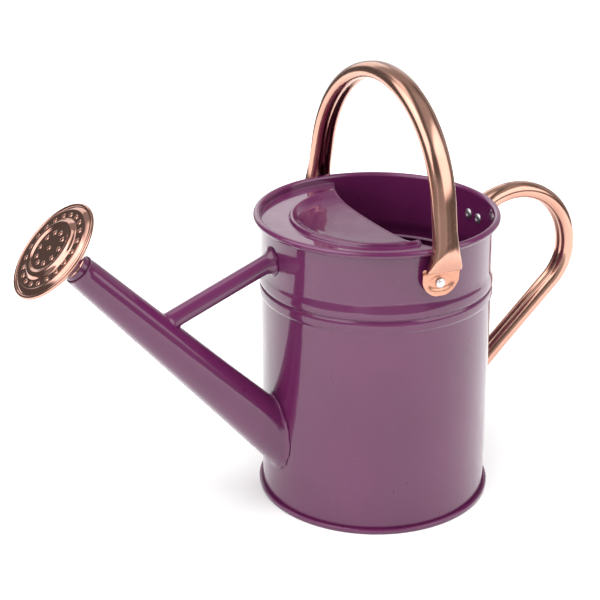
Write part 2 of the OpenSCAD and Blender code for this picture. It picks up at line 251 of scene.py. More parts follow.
# ---------------------------------------------------------------- mesh helpers
class Builder:
    """Vertices in millimetres and faces, gathered from several grids"""

    def __init__(self):
        self.v, self.f, self.uv = [], [], {}
        self.n = 0

    def points(self, p):
        p = np.asarray(p, float).reshape(-1, 3)
        self.v.append(p)
        self.n += len(p)
        return self.n - len(p)

    def grid(self, p, wrap_u=False, wrap_v=False, flip=False, uv=None, skip=None):
        """p is (nu, nv, 3)"""
        p = np.asarray(p, float)
        nu, nv = p.shape[:2]
        o = self.points(p)
        for i in range(nu if wrap_u else nu - 1):
            i2 = (i + 1) % nu
            for j in range(nv if wrap_v else nv - 1):
                if skip is not None and skip[i][j]:
                    continue
                j2 = (j + 1) % nv
                q = (o + i * nv + j, o + i2 * nv + j, o + i2 * nv + j2, o + i * nv + j2)
                if flip:
                    q = q[::-1]
                if uv is not None:
                    U, V = uv
                    ui, ui2 = U[i], U[i + 1]
                    vj, vj2 = V[j], V[j + 1]
                    w = ((ui, vj), (ui2, vj), (ui2, vj2), (ui, vj2))
                    self.uv[len(self.f)] = w[::-1] if flip else w
                self.f.append(q)
        return o

    def fan(self, ring, centre, flip=False):
        o = self.points([centre])
        n = len(ring)
        for k in range(n):
            q = (ring[k], ring[(k + 1) % n], o)
            self.f.append(q[::-1] if flip else q)

    def make(self, name, mat, body, slot, sharp=34, replaces=(), thick=None, offset=-1.0, bevel=None, mats=None, closed=None, facing=None):
        v = np.concatenate(self.v) * MM
        me = bpy.data.meshes.new(name)
        me.from_pydata(v.tolist(), [], self.f)
        if self.uv:
            lay = me.uv_layers.new(name="UVMap")
            flat = np.zeros((len(me.loops), 2), np.float32)
            for fi, w in self.uv.items():
                st = me.polygons[fi].loop_start
                for k, c in enumerate(w):
                    flat[st + k] = c
            lay.data.foreach_set("uv", flat.ravel())
        me.validate()
        me.update()
        if (closed if closed is not None else not thick) or facing is not None:
            bm = bmesh.new()
            bm.from_mesh(me)
            bmesh.ops.recalc_face_normals(bm, faces=bm.faces)
            if facing is not None:
                way = sum((f.normal * f.calc_area() for f in bm.faces), Vector())
                if way @ Vector(facing) < 0:
                    bmesh.ops.reverse_faces(bm, faces=bm.faces)
            bm.to_mesh(me)
            bm.free()
        ob = bpy.data.objects.new(name, me)
        bpy.context.scene.collection.objects.link(ob)
        me.shade_smooth()
        if sharp:
            me.set_sharp_from_angle(angle=radians(sharp))
        for x in (mats or [mat]):
            me.materials.append(x)
        if thick:
            md = ob.modifiers.new("sheet", "SOLIDIFY")
            md.thickness, md.offset, md.use_even_offset, md.use_rim = thick * MM, offset, True, True
            md.use_quality_normals = True
        if bevel:
            md = ob.modifiers.new("edge", "BEVEL")
            md.width, md.segments, md.limit_method, md.angle_limit = bevel * MM, 2, "ANGLE", radians(50)
        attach(ob, body)
        if replaces:
            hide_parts(*replaces)
        return ob


def arc(cx, cz, r, a0, a1, n):
    return [(cx + r * cos(radians(a0 + (a1 - a0) * k / n)), cz + r * sin(radians(a0 + (a1 - a0) * k / n))) for k in range(n + 1)]


def smooth_line(pts, n):
    """Catmull-Rom through 2-D or 3-D points, n samples a span"""
    p = np.asarray(pts, float)
    p = np.vstack([2 * p[0] - p[1], p, 2 * p[-1] - p[-2]])
    out = []
    for i in range(1, len(p) - 2):
        for k in range(n):
            t = k / n
            a, b, c, d = p[i - 1], p[i], p[i + 1], p[i + 2]
            out.append(0.5 * (2 * b + (c - a) * t + (2 * a - 5 * b + 4 * c - d) * t * t + (3 * b - a - 3 * c + d) * t ** 3))
    out.append(p[-2])
    return np.array(out)


def rev(profile, n, origin=(0, 0, 0), ex=(1, 0, 0), ey=(0, 1, 0), ez=(0, 0, 1), a0=0.0, a1=2 * pi, closed=True):
    """(n or n+1, len(profile), 3) points of a lathe; profile is (radius, height)"""
    pr = np.asarray(profile, float)
    k = n if closed else n + 1
    a = a0 + (a1 - a0) * np.arange(k) / n
    ex, ey, ez = (np.asarray(x, float) for x in (ex, ey, ez))
    return (np.asarray(origin, float)[None, None] + pr[None, :, 0, None] * (np.cos(a)[:, None, None] * ex + np.sin(a)[:, None, None] * ey)
            + pr[None, :, 1, None] * ez)


def axis_frame(p):
    """Unit axes of the spout or rose: up in the face, sideways, along"""
    return np.array([sin(p), 0, cos(p)]), np.array([0, 1.0, 0]), np.array([-cos(p), 0, sin(p)])


SU, SY, SD = axis_frame(SP)
RU, RY, RD = axis_frame(RP)


def bisect(f, a, b, n=44):
    fa = f(a)
    for _ in range(n):
        m = 0.5 * (a + b)
        fm = f(m)
        if (fm > 0) == (fa > 0):
            a = m
        else:
            b = m
    return 0.5 * (a + b)


def on_body(p, r=BODY_R):
    h = math.hypot(p[0], p[1])
    return np.array([p[0] * r / h, p[1] * r / h, p[2]])


def spout_r(l):
    return TIP_R - TAPER * l


def spout_point(l, a, dr=0.0):
    r = spout_r(l) + dr
    return TIP + l * SD + r * (cos(a) * SU + sin(a) * SY)


def spout_off(p):
    """Distance outside the spout's surface"""
    q = p - TIP
    l = q @ SD
    return np.linalg.norm(q - l * SD) - spout_r(l)


def on_spout(p):
    q = p - TIP
    l = q @ SD
    rad = q - l * SD
    return TIP + l * SD + rad / np.linalg.norm(rad) * spout_r(l)


def unit(v):
    return v / np.linalg.norm(v)


def fillet_rows(joints, dirs, out, project, wa, wb, rows, lump=0.0, seed=0.0):
    """Concave fillet rows from the tube (first) to the surface (last). dirs point back along the tube, out away from its axis."""
    n = len(joints)
    res = np.zeros((rows + 1, n, 3))
    for k in range(n):
        j = joints[k]
        w = 1.0 + lump * noise.noise(Vector((j * 0.22).tolist()) + Vector((seed, 0, 0)))
        a = j + dirs[k] * wa * w
        b = project(j + out[k] * wb * w)
        for i in range(rows + 1):
            t = i / rows
            p = (1 - t) ** 2 * a + 2 * t * (1 - t) * (j + (dirs[k] * wa + out[k] * wb) * 0.10) + t * t * b
            res[i, k] = p
    return res


# ---------------------------------------------------------------- body
BEAD_PTS = smooth_line([(150.5, 0.0), (151.8, -0.04), (152.7, 0.12), (153.6, 0.80), (154.8, 1.08), (156.6, 1.16), (158.4, 1.08), (159.9, 0.78), (161.0, 0.22), (161.6, -0.04), (162.1, 0.20), (162.7, 0.90),
                        (163.6, 1.20), (165.6, 1.24), (168.4, 0.92), (171.2, 0.36), (173.6, 0.06), (175.4, 0.0)], 10)
BEAD_Z, BEAD_R = BEAD_PTS[:, 0], BEAD_PTS[:, 1]


def wall_profile(z):
    """Inner surface radius of the wall at height z"""
    r = BODY_IN
    return r + float(np.interp(z, BEAD_Z, BEAD_R))


def body():
    n = 480
    zs = [0.65, 2.0] + list(np.arange(4.0, 30.0, 3.25)) + list(np.arange(30.0, 92.0, 1.5)) + list(np.arange(92.0, 149.0, 3.8)) \
        + list(np.arange(149.0, 177.0, 0.28)) + list(np.arange(178.0, 206.0, 3.0)) + [206.5, 208.0]
    prof = [(wall_profile(z), z) for z in zs] + arc(ROLL_C, ROLL_Z, ROLL_R, 180, -131, 26)
    p = rev(prof, n)
    nv = len(prof)
    # opening behind the spout
    skip = np.zeros((n, nv), bool)
    bore = lambda q: spout_off(q) + SPOUT_T
    off = np.full((n, nv), 99.0)
    for i in range(n):
        a = 2 * pi * i / n
        if cos(a) < -0.9:
            for j in range(nv):
                if 25 < p[i, j, 2] < 95:
                    off[i, j] = bore(p[i, j])
    for i in range(n):
        for j in range(nv - 1):
            c = [off[i, j], off[(i + 1) % n, j], off[i, j + 1], off[(i + 1) % n, j + 1]]
            if sum(c) / 4 < 0:
                skip[i, j] = True
    touched = {}
    for i in range(n):
        for j in range(nv - 1):
            if skip[i, j]:
                for q in ((i, j), ((i + 1) % n, j), (i, j + 1), ((i + 1) % n, j + 1)):
                    touched[q] = touched.get(q, 0) + 1
    for (i, j), c in touched.items():
        if c < 4:
            q = p[i, j].copy()
            for _ in range(6):
                d = bore(q)
                ax = TIP + ((q - TIP) @ SD) * SD
                out = q - ax
                nrm = np.array([q[0], q[1], 0]) / math.hypot(q[0], q[1])
                out = unit(out - (out @ nrm) * nrm)
                q = on_body(q - out * d, BODY_IN)
            p[i, j] = q
    b = Builder()
    b.grid(p, wrap_u=True, skip=skip)
    ob = b.make("body_shell_pressed", ENAMEL, "can", "enamel", sharp=0, replaces=("body_shell",), thick=WALL, offset=-1.0)
    ob.data.set_sharp_from_angle(angle=radians(60))
    return ob


def lock_seam():
    """Folded seam down the inside of the wall, and its dressed line outside"""
    b = Builder()
    zs = list(np.arange(5.0, 150, 4.0)) + list(np.arange(150, 176, 0.6)) + list(np.arange(176.5, 205, 3.0)) + [206.8]
    inside = [(-2.25, -0.05), (-2.1, 0.30), (-1.9, 0.5), (-1.6, 0.56), (1.2, 0.50), (1.7, 0.42), (2.0, 0.2), (2.2, -0.05)]
    outside = [(-0.55, -0.05), (-0.35, 0.10), (0.0, 0.14), (0.35, 0.10), (0.55, -0.05)]
    for sec, base, sign in ((inside, 0.0, -1), (outside, WALL, 1)):
        g = np.zeros((len(zs), len(sec), 3))
        for i, z in enumerate(zs):
            for j, (s, h) in enumerate(sec):
                r = wall_profile(z) + base + sign * (h + 0.015 * noise.noise(Vector((s, z * 0.12, 3.0 + base))))
                a = SEAM_A + s / BODY_R
                g[i, j] = (r * cos(a), r * sin(a), z)
        o = b.grid(g, flip=sign > 0)
        nj = len(sec)
        for row in (0, len(zs) - 1):
            ring = [o + row * nj + j for j in range(nj)]
            b.f.append(tuple(ring if (row == 0) != (sign > 0) else ring[::-1]))
        # back face, buried in the wall
        for i in range(len(zs) - 1):
            q = (o + i * nj, o + i * nj + nj - 1, o + (i + 1) * nj + nj - 1, o + (i + 1) * nj)
            b.f.append(q if sign > 0 else q[::-1])
    return b.make("body_lock_seam", ENAMEL, "can", "enamel", sharp=50)


def base():
    b = Builder()
    # double seam with rounded shoulders, then up inside and across the raised disc
    sec = ([(BODY_R + 0.02, 3.62)] + arc(SEAM_R - 0.8, 2.8, 0.8, 90, 0, 8) + [(SEAM_R, 1.7)] + arc(SEAM_R - 0.9, 0.9, 0.9, 0, -90, 8)
           + arc(81.2 + 0.9, 0.9, 0.9, -90, -180, 8) + [(81.2, 2.4)] + arc(80.2, 2.4, 1.0, 0, 90, 8)
           + [(78, 3.4), (70, 3.4), (65.2, 3.4)] + [(64.4, 3.55), (63.6, 3.95), (62.6, 4.2), (59.4, 4.2), (58.4, 3.95), (57.6, 3.55), (56.8, 3.4)]
           + [(50, 3.42), (36, 3.44), (20, 3.46), (6, 3.47), (0.8, 3.47)])
    back = [(0.8, 4.07), (6, 4.07), (20, 4.06), (36, 4.04), (50, 4.02), (56.6, 4.0), (57.5, 4.12), (58.3, 4.5), (59.4, 4.8), (62.6, 4.8), (63.7, 4.5),
            (64.5, 4.12), (65.4, 4.0), (78, 4.0), (80.4, 4.0), (81.5, 3.9), (81.88, 3.4), (81.88, 3.0)]
    n = 384
    g = rev(sec + back, n)
    b.grid(g, wrap_u=True, wrap_v=False, flip=True)
    k = len(sec) + len(back)
    # close the section, and the middle of the disc
    for i in range(n):
        i2 = (i + 1) % n
        b.f.append((i * k, i * k + k - 1, i2 * k + k - 1, i2 * k)[::-1])
    b.f = [f for f in b.f]
    lo, hi = len(sec) - 1, len(sec)
    drop = {(i * k + lo, ((i + 1) % n) * k + lo, ((i + 1) % n) * k + hi, i * k + hi)[::-1] for i in range(n)}
    b.f = [f for f in b.f if f not in drop]
    b.fan([i * k + lo for i in range(n)], (0, 0, 3.47), flip=False)
    b.fan([i * k + hi for i in range(n)], (0, 0, 4.07), flip=True)
    return b.make("base_disc_and_seam", ENAMEL, "can", "enamel", sharp=60, replaces=("base_plate",))


LID_PROF = [(2.0, -4.5), (10, -4.42), (18, -4.3), (26, -4.0), (34, -3.6), (40, -3.05), (44, -2.6), (47, -2.0), (50, -1.3), (52, -0.65), (54, 0.2), (56.5, 1.6), (58, 2.4),
            (59, 2.7), (60, 2.5), (60.7, 1.6), (61.3, 0.4), (62.2, 0.0), (63.5, -0.02), (68, 0.0), (74, 0.02), (79, 0.0), (81.6, 0.0)]


def lid():
    pr = smooth_line(LID_PROF, 5)
    n = 220
    g = np.zeros((len(pr), n + 1, 3))
    for i, (r, z) in enumerate(pr):
        # angle at which the circle of radius r meets the cut edge
        if r <= LID_RIB + 0.05:
            a = math.acos(max(-1, LID_EDGE / r)) if r > abs(LID_EDGE) else pi
        else:
            # straight line from (edge, rib) to (edge + 16, 90)
            f = lambda t: math.hypot(LID_EDGE + 16 * t, LID_RIB + (90 - LID_RIB) * t) - r
            t = bisect(f, 0.0, 1.0)
            a = math.atan2(LID_RIB + (90 - LID_RIB) * t, LID_EDGE + 16 * t)
        if r > LID_RIB:
            a0 = math.acos(LID_EDGE / LID_RIB)
            a = min(a, a0 + 0.0) if a < a0 else a
        for j in range(n + 1):
            s = j / n
            ang = a + (2 * pi - 2 * a) * s
            g[i, j] = (r * cos(ang), r * sin(ang), LID_Z + z)
    b = Builder()
    b.grid(g, flip=False)
    ob = b.make("top_cover_pressed", ENAMEL, "can", "enamel", sharp=0, replaces=("top_cover",), thick=0.6, offset=-1.0)
    # folded hem along the free edge
    edge = np.concatenate([g[::-1, 0], g[1:, -1]])
    h = Builder()
    keep = [edge[0]]
    for q in edge[1:]:
        if np.linalg.norm(q - keep[-1]) > 0.5:
            keep.append(q)
    edge = np.array(keep)
    m = 14
    ring = np.zeros((len(edge), m, 3))
    for i, q in enumerate(edge):
        t = unit(edge[min(i + 1, len(edge) - 1)] - edge[max(i - 1, 0)])
        side = unit(np.cross(t, (0, 0, 1)))
        up = np.cross(side, t)
        for k in range(m):
            a = 2 * pi * k / m
            ring[i, k] = q + up * (-0.32) + side * 0.85 * cos(a) + up * 0.62 * sin(a)
    o = h.grid(ring, wrap_v=True, flip=True)
    h.f.append(tuple(o + k for k in range(m)))
    h.f.append(tuple(o + (len(edge) - 1) * m + k for k in range(m))[::-1])
    h.make("top_cover_hem", ENAMEL, "can", "enamel", sharp=60)
    # enamelled solder run where the band meets the wall
    s = Builder()
    a0 = math.atan2(80.9, LID_EDGE + 11.4)
    k = 260
    rows = [(81.86, 1.5), (81.55, 0.55), (81.1, 0.16), (80.3, 0.01), (81.88, -0.2)]
    g2 = np.zeros((k + 1, len(rows), 3))
    for i in range(k + 1):
        ang = a0 + (2 * pi - 2 * a0) * i / k
        w = 1 + 0.25 * noise.noise(Vector((ang * 9, 0.3, 0)))
        for j, (r, z) in enumerate(rows):
            rr = 81.9 - (81.9 - r) * w
            g2[i, j] = (rr * cos(ang), rr * sin(ang), LID_Z + z * w)
    o, m = s.grid(g2, wrap_v=True, flip=True), len(rows)
    s.f.append(tuple(o + q for q in range(m)))
    s.f.append(tuple(o + k * m + q for q in range(m))[::-1])
    s.make("top_cover_joint", ENAMEL, "can", "enamel", sharp=0)
    return ob


# ---------------------------------------------------------------- spout, brace, neck
def spout():
    n = 96
    roots, inner = [], []
    for k in range(n):
        a = 2 * pi * k / n
        roots.append(bisect(lambda l: math.hypot(*spout_point(l, a)[:2]) - BODY_R, -60.0, -262.0))
        inner.append(bisect(lambda l: math.hypot(*spout_point(l, a, -SPOUT_T)[:2]) - BODY_IN, -60.0, -262.0))
    joints = [spout_point(roots[k], 2 * pi * k / n) for k in range(n)]
    dirs = [unit(spout_point(roots[k] + 1, 2 * pi * k / n) - joints[k]) for k in range(n)]
    outs = []
    for k in range(n):
        j = joints[k]
        nrm = unit(np.array([j[0], j[1], 0]))
        ax = TIP + ((j - TIP) @ SD) * SD
        o = j - ax
        outs.append(unit(o - (o @ nrm) * nrm))
    fil = fillet_rows(joints, dirs, outs, on_body, 3.0, 2.6, 7, lump=0.5, seed=2.0)
    lat = []
    steps = 40
    for i in range(steps + 1):
        row = []
        for k in range(n):
            a = 2 * pi * k / n
            l0 = (fil[0][k] - TIP) @ SD
            l = l0 + (-1.1 - l0) * (i / steps)
            row.append(spout_point(l, a))
        lat.append(row)
    # tip: a small bead, then the shoulder down to the neck
    for l, dr in ((-1.05, 0.02), (-0.8, 0.16), (-0.45, 0.24), (-0.1, 0.2), (0.14, 0.02), (0.2, -0.35), (0.12, -0.8), (0.02, -1.5), (0.0, -1.9)):
        lat.append([spout_point(l, 2 * pi * k / n, dr) for k in range(n)])
    rows = [fil[i] for i in range(len(fil) - 1, 0, -1)] + [np.array(r) for r in lat]
    # collar inside the tip, then the bore back to the opening in the wall
    for l, dr in ((-0.3, -2.6), (-9.0, -3.4), (-9.4, -3.0), (-9.5, -2.0), (-9.5, -SPOUT_T)):
        rows.append(np.array([spout_point(l, 2 * pi * k / n, dr) for k in range(n)]))
    for i in range(1, 13):
        rows.append(np.array([spout_point(-9.5 + (inner[k] + 9.5) * i / 12, 2 * pi * k / n, -SPOUT_T) for k in range(n)]))
    b = Builder()
    b.grid(np.array(rows), wrap_u=True, wrap_v=True, flip=True)
    b.make("spout_tube_tapered", ENAMEL, "can", "enamel", sharp=60, replaces=("spout_tube",))
    # soldered lap seam along the underside
    s = Builder()
    sec = [(-1.7, -0.05), (-1.4, 0.12), (-0.9, 0.2), (0.9, 0.2), (1.4, 0.16), (1.7, -0.05)]
    a0 = pi
    lroot = roots[n // 2] + 2.0
    ls = np.linspace(lroot, -1.2, 60)
    g = np.zeros((len(ls), len(sec), 3))
    for i, l in enumerate(ls):
        for j, (x, h) in enumerate(sec):
            g[i, j] = spout_point(l, a0 + x / spout_r(l), h)
    o, k = s.grid(g, wrap_v=True), len(sec)
    s.f.append(tuple(o + q for q in range(k)))
    s.f.append(tuple(o + (len(ls) - 1) * k + q for q in range(k))[::-1])
    s.make("spout_lap_seam", ENAMEL, "can", "enamel", sharp=0)


def neck():
    b = Builder()
    n = 96
    prof = [(NECK_R - 0.9, -2.0), (9.0, -2.0), (9.35, -0.4), (9.4, 0.2), (9.3, 1.2), (9.28, 3.4), (9.2, 3.9), (8.95, 4.2), (8.2, 4.3), (NECK_R, 4.34), (7.75, 4.9)]
    # rounded thread, 2.25 mm pitch
    rows = []
    ls = np.linspace(4.9, 12.9, 90)
    g = np.zeros((n, len(ls), 3))
    for i in range(n):
        a = 2 * pi * i / n
        for j, l in enumerate(ls):
            ph = (l / 2.25 - a / (2 * pi)) % 1.0
            fade = max(0.0, min(1.0, (l - 4.9) / 1.2, (12.9 - l) / 0.9))
            r = 7.52 + 0.42 * fade * (0.5 + 0.5 * cos(2 * pi * ph)) ** 1.3 + 0.2 * (1 - fade)
            g[i, j] = TIP + l * RD + r * (cos(a) * RU + sin(a) * RY)
    end = rev([(7.45, 13.35), (7.2, 13.5), (6.95, 13.4), (6.82, 13.1), (6.8, 6.0), (6.8, -1.0), (6.8, -8.0), (8.6, -8.0)], n, TIP, RU, RY, RD)
    b.grid(np.concatenate([rev(prof[:-1], n, TIP, RU, RY, RD), g, end], axis=1), wrap_u=True, wrap_v=True)
    b.make("spout_neck_threaded", ENAMEL, "can", "enamel", sharp=50, replaces=("spout_neck",))


def brace():
    A, B = np.array([-160.0, 0, 157.6]), np.array([-76.0, 0, 190.2])
    d = unit(B - A)
    u = np.array([-d[2], 0, d[0]])
    y = np.array([0, 1.0, 0])
    n = 72
    far = lambda a: A - 40 * d + BRACE_R * (cos(a) * u + sin(a) * y)
    jb, js = [], []
    for k in range(n):
        p0 = far(2 * pi * k / n)
        tb = bisect(lambda t: math.hypot(*(p0 + t * d)[:2]) - BODY_R, 60.0, 140.0)
        jb.append(p0 + tb * d)
        ts = bisect(lambda t: spout_off(p0 + t * d), 90.0, 20.0)
        js.append(p0 + ts * d)

    def outs(js, normal):
        r = []
        for j in js:
            ax = A + ((j - A) @ d) * d
            nn = normal(j)
            o = j - ax
            r.append(unit(o - (o @ nn) * nn))
        return r

    nb = lambda j: unit(np.array([j[0], j[1], 0]))

    def ns(j):
        q = j - TIP
        return unit(q - (q @ SD) * SD)

    fb = fillet_rows(jb, [-d] * n, outs(jb, nb), on_body, 5.6, 3.3, 8, lump=0.35, seed=7.0)
    fs = fillet_rows(js, [d] * n, outs(js, ns), on_spout, 2.2, 1.8, 6, lump=0.5, seed=11.0)
    rows = [fs[i] for i in range(len(fs) - 1, -1, -1)]
    for i in range(1, 16):
        rows.append(fs[0] + (fb[0] - fs[0]) * i / 16)
    rows += [fb[i] for i in range(len(fb))]
    b = Builder()
    o = b.grid(np.array(rows), wrap_v=True, flip=False)
    last = o + (len(rows) - 1) * n
    b.fan([o + k for k in range(n)], on_spout(np.mean(rows[0], axis=0)) - 0.35 * ns(np.mean(rows[0], axis=0)))
    b.fan([last + k for k in range(n)], on_body(np.mean(rows[-1], axis=0), BODY_R - 0.3))
    b.make("spout_brace_tube", ENAMEL, "can", "enamel", sharp=60, replaces=("spout_brace",))


# ---------------------------------------------------------------- rose
FACE = [(1.75, 25.6), (6, 25.58), (11.6, 25.5), (15.0, 25.42), (16.2, 25.62), (17.2, 26.1), (18.4, 26.45), (19.6, 26.42), (20.8, 25.95), (21.8, 25.1), (22.7, 24.25), (23.6, 24.02),
        (25.6, 23.95), (27.6, 23.92), (28.5, 23.98), (29.4, 24.2), (30.2, 24.1), (31.5, 23.5), (32.6, 22.9), (33.4, 22.45), (34.2, 22.2)]


def face_height(r):
    global _fh
    try:
        tab = _fh
    except NameError:
        tab = _fh = smooth_line(FACE, 8)
    return float(np.interp(r, tab[:, 0], tab[:, 1]))


def rose_face():
    n = 360
    rs = [1.75] + list(np.arange(2.2, 34.2, 0.4)) + [34.2]
    rs = np.array(rs)
    nr = len(rs)
    b = Builder()
    P = lambda x, y, l: TIP + l * RD + x * RU + y * RY
    g = np.zeros((n, nr, 3))
    for i in range(n):
        a = radians(i)
        for j, r in enumerate(rs):
            g[i, j] = P(r * cos(a), r * sin(a), face_height(r))
    skip = np.zeros((n, nr), bool)
    holes = [(11.6, 36 * k) for k in range(10)] + [(25.6, 18 * k) for k in range(20)]
    blocks = []
    for rh, ah in holes:
        k = int(math.ceil(1.9 / (rh * pi / 180)))
        j0 = int(np.searchsorted(rs, rh - 1.9)) - 1
        j1 = int(np.searchsorted(rs, rh + 1.9))
        for i in range(ah - k, ah + k):
            for j in range(j0, j1):
                skip[i % n, j] = True
        blocks.append((rh, ah, k, j0, j1))
    U = np.concatenate([rs, rs[-1:]]) * MM
    o = b.grid(g, wrap_u=True, flip=False, skip=skip)
    rings = [(1.62, 0.05), (1.45, 0.20), (1.28, 0.42), (1.12, 0.52), (0.99, 0.44), (0.91, 0.16), (0.88, -0.1)]
    for rh, ah, k, j0, j1 in blocks:
        loop = [((ah - k + s) % n, j0) for s in range(2 * k)] + [((ah + k) % n, j0 + s) for s in range(j1 - j0)] \
            + [((ah + k - s) % n, j1) for s in range(2 * k)] + [((ah - k) % n, j1 - s) for s in range(j1 - j0)]
        cx, cy = rh * cos(radians(ah)), rh * sin(radians(ah))
        prev = [o + i * nr + j for i, j in loop]
        angs = []
        for i, j in loop:
            x, y = rs[j] * cos(radians(i)) - cx, rs[j] * sin(radians(i)) - cy
            angs.append(math.atan2(y, x))
        for rr, h in rings:
            pts = []
            for t in angs:
                x, y = cx + rr * cos(t), cy + rr * sin(t)
                pts.append(P(x, y, face_height(math.hypot(x, y)) + h))
            q = b.points(pts)
            cur = [q + s for s in range(len(loop))]
            m = len(loop)
            for s in range(m):
                b.f.append((prev[s], cur[s], cur[(s + 1) % m], prev[(s + 1) % m])[::-1])
            prev = cur
    # middle hole
    m = 36
    prev = None
    for rr, h in [(1.75, 0.0)] + rings:
        pts = [P(rr * cos(2 * pi * s / n * 10), rr * sin(2 * pi * s / n * 10), 25.6 + h) for s in range(m)]
        if rr == 1.75:
            q = None
            cur = [o + s * 10 * nr for s in range(m)]
        else:
            q = b.points(pts)
            cur = [q + s for s in range(m)]
        if prev is not None:
            if len(rings) and prev[0] == o:
                # first ring: ten grid vertices to one
                for s in range(m):
                    s2 = (s + 1) % m
                    base_i = [o + ((s * 10 + t) % n) * nr for t in range(11)]
                    poly = base_i + [cur[s2], cur[s]]
                    b.f.append(tuple(poly[::-1]))
            else:
                for s in range(m):
                    b.f.append((prev[s], cur[s], cur[(s + 1) % m], prev[(s + 1) % m])[::-1])
        prev = cur
    b.f = [f[::-1] for f in b.f]
    ob = b.make("rose_face_pressed", COPPER_ROSE, "rose", "copper_finish", sharp=0, thick=0.6, offset=-1.0, facing=RD)
    ob.data.set_sharp_from_angle(angle=radians(70))
    # rolled rim
    c = Builder()
    k = 288
    mnr = 28
    ring = [(ROSE_R - 1.4 + 1.4 * cos(2 * pi * t / mnr), 22 + 1.4 * sin(2 * pi * t / mnr)) for t in range(mnr)]
    gg = rev(ring, k, TIP, RU, RY, RD)
    c.grid(gg, wrap_u=True, wrap_v=True, flip=False)
    rim = c.make("rose_rim_rolled", COPPER_ROSE, "rose", "copper_finish", sharp=0, replaces=("rose_face",))
    return ob, rim


def rose_back():
    b = Builder()
    pts = smooth_line([(10.02, 8), (14, 8.6), (19, 10.6), (24, 13.4), (28.5, 16.8), (31.5, 19.6), (34.0, 20.6)], 8)
    out = [(r, l) for r, l in pts]
    inn = [(r - 0.1, l + 0.65) for r, l in pts[::-1]]
    n = 240
    g = rev(out + inn, n, TIP, RU, RY, RD)
    b.grid(g, wrap_u=True, wrap_v=True, flip=True)
    b.make("rose_back_spun", COPPER_ROSE, "rose", "copper_finish", sharp=50, replaces=("rose_back",))
    # socket: sleeve with rolled lip, drawn plain, without knurl or inner thread
    c = Builder()
    n = 240
    prof = [(8.35, 4.6), (9.2, 4.45), (9.85, 4.6), (10.12, 5.0), (10.0, 5.6), (9.75, 6.0), (9.7, 6.6), (9.98, 7.2), (9.98, 8.2), (9.98, 13.5), (9.9, 16.6), (9.6, 17.0), (6.7, 17.0), (6.5, 16.85), (6.5, 16.1),
            (8.55, 16.0), (8.6, 15.7), (8.6, 13.9), (8.1, 13.6), (8.1, 5.2)]
    g = rev(prof, n, TIP, RU, RY, RD)
    c.grid(g, wrap_u=True, wrap_v=True, flip=False)
    c.make("rose_socket_sleeve", COPPER_ROSE, "rose", "copper_finish", sharp=45, replaces=("rose_socket",))


def gasket():
    b = Builder()
    prof = [(6.1, 13.85), (8.3, 13.85), (8.48, 14.0), (8.5, 14.9), (8.45, 15.75), (8.3, 15.9), (6.2, 15.9), (6.02, 15.75), (5.98, 14.9), (6.0, 13.98)]
    b.grid(rev(prof, 96, TIP, RU, RY, RD), wrap_u=True, wrap_v=True, flip=False)
    b.make("rose_gasket_ring", RUBBER, "rose_carrier", "black_rubber", sharp=60, replaces=("rose_gasket",))


# ---------------------------------------------------------------- rolled-sheet tubes
def lean(p):
    """Bail as built upright, turned to where it rests"""
    p = np.asarray(p, float).copy()
    x, z = p[..., 0].copy(), p[..., 2] - PIVOT_Z
    p[..., 0] = x * cos(LEAN) + z * sin(LEAN)
    p[..., 2] = PIVOT_Z - x * sin(LEAN) + z * cos(LEAN)
    return p


def c_section(w, d, p, gap, m, t=TUBE_T, curl=1.0):
    """Rolled sheet section in (across, outward). The joint is on the inward side; gap is the mouth's half angle. Returns outer then inner points."""
    # denser towards the lips
    s = np.linspace(-1, 1, m)
    s = np.sign(s) * (1 - (1 - np.abs(s)) ** 1.25)
    ang = pi + s * (pi - gap)         # angle from the joint, 0 and 2 pi are the joint
    cx, cq = np.sin(ang), -np.cos(ang)
    x = -(w / 2) * np.sign(cx) * np.abs(cx) ** (2 / p)
    q = (d / 2) * np.sign(cq) * np.abs(cq) ** (2 / p)
    # the lips turn into the joint
    near = np.maximum(0.0, np.minimum(ang - gap, 2 * pi - gap - ang))
    q = q + curl * 1.15 * np.exp(-(near / 0.20) ** 1.5)
    x = x * (1 - curl * 0.25 * np.exp(-(near / 0.10)))
    pts = np.stack([x, q], 1)
    tan = np.gradient(pts, axis=0)
    nrm = np.stack([tan[:, 1], -tan[:, 0]], 1)
    nrm /= np.linalg.norm(nrm, axis=1)[:, None]
    if (nrm[m // 2] @ np.array([0, 1.0])) < 0:
        nrm = -nrm
    inner = pts - nrm * t
    return pts, inner


def tube(name, path, across, outward, w, d, p, gap, mat, body, slot, replaces, m=64, curl=None, t=TUBE_T, place=None):
    """path (n,3); across, outward (n,3) unit; w, d, p, gap arrays"""
    n = len(path)
    g = np.zeros((n, 2 * m, 3))
    for i in range(n):
        o, inn = c_section(w[i], d[i], p[i], gap[i], m, t, 1.0 if curl is None else curl[i])
        loop = np.vstack([o, inn[::-1]])
        g[i] = path[i] + loop[:, :1] * across[i] + loop[:, 1:] * outward[i]
    if place is not None:
        g = place(g)
    s = np.concatenate([[0], np.cumsum(np.linalg.norm(np.diff(path, axis=0), axis=1))]) * MM
    v = np.linspace(0, 2 * (w.mean() + d.mean()) * MM, 2 * m + 1)
    b = Builder()
    o = b.grid(g, wrap_v=True, flip=False, uv=(s, v))
    for row, fl in ((0, True), (n - 1, False)):
        for k in range(m - 1):
            a0, a1 = o + row * 2 * m + k, o + row * 2 * m + k + 1
            b0, b1 = o + row * 2 * m + 2 * m - 1 - k, o + row * 2 * m + 2 * m - 2 - k
            q = (a0, a1, b1, b0)
            b.f.append(q if not fl else q[::-1])
    return b.make(name, mat, body, slot, sharp=42, replaces=replaces)


